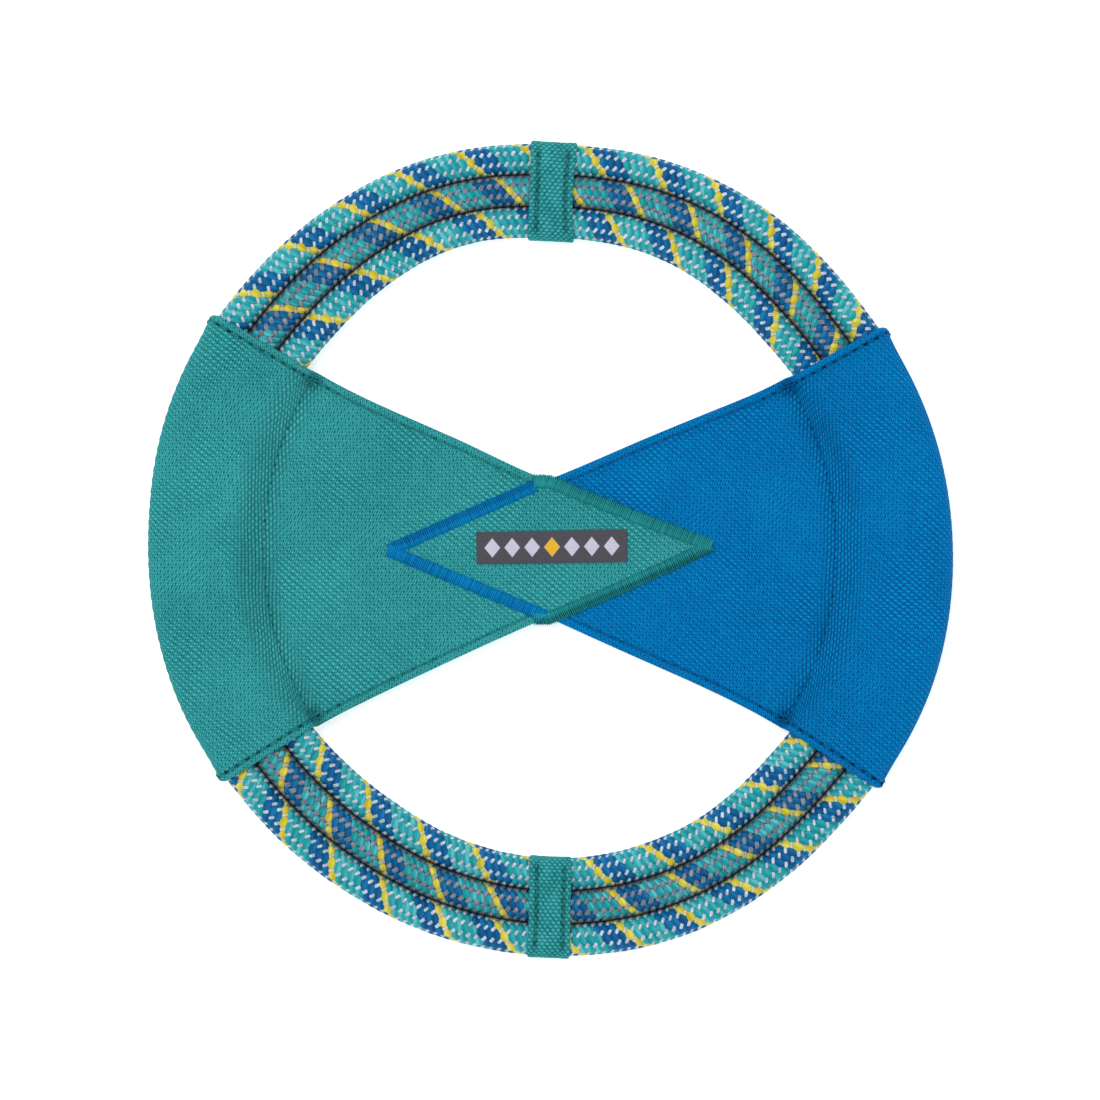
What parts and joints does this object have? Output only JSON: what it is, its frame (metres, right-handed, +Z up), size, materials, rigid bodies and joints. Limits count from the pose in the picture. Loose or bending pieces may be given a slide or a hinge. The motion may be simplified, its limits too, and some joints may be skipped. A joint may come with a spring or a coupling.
{
  "type": "flying ring",
  "caption": "Soft flying ring: concentric braided rope hoops held by crossed teal and blue cloth panels and small folded strap keepers.",
  "frame": {"origin": "centre of the ring, in the plane it rests on", "axes": "+Z up out of the front face with the label, +X towards the middle of the blue panel, +Y towards the top keeper"},
  "size_m": [0.2414, 0.2414, 0.0109],
  "materials": {
    "rope_sheath": "satin",
    "rope_core": "matte",
    "rope_sleeve": "matte",
    "teal_cloth": "matte",
    "blue_cloth": "matte",
    "foam_pad": "matte",
    "teal_thread": "satin",
    "blue_thread": "satin",
    "blue_satin": "satin",
    "green_satin": "satin",
    "label_cloth": "matte",
    "keeper_cloth": "matte",
    "keeper_thread": "satin"
  },
  "bodies": {
    "root": {"outer_rope_sheath": "rope_sheath", "outer_rope_core": "rope_core", "outer_rope_sleeve": "rope_sleeve", "middle_rope_sheath": "rope_sheath", "middle_rope_core": "rope_core", "middle_rope_sleeve": "rope_sleeve", "inner_rope_sheath": "rope_sheath", "inner_rope_core": "rope_core", "inner_rope_sleeve": "rope_sleeve", "teal_front_panel": "teal_cloth", "teal_back_panel": "teal_cloth", "teal_pad": "foam_pad", "teal_edge_stitching": "teal_thread", "teal_channel_stitching": "teal_thread", "teal_rim_stitching": "teal_thread", "blue_front_panel": "blue_cloth", "blue_back_panel": "blue_cloth", "blue_pad": "foam_pad", "blue_edge_stitching": "blue_thread", "blue_channel_stitching": "blue_thread", "blue_rim_stitching": "blue_thread", "left_satin_border": "blue_satin", "right_satin_border": "green_satin", "label": "label_cloth", "top_keeper": "keeper_cloth", "top_keeper_stitching": "keeper_thread", "bottom_keeper": "keeper_cloth", "bottom_keeper_stitching": "keeper_thread"}
  },
  "joints": []
}
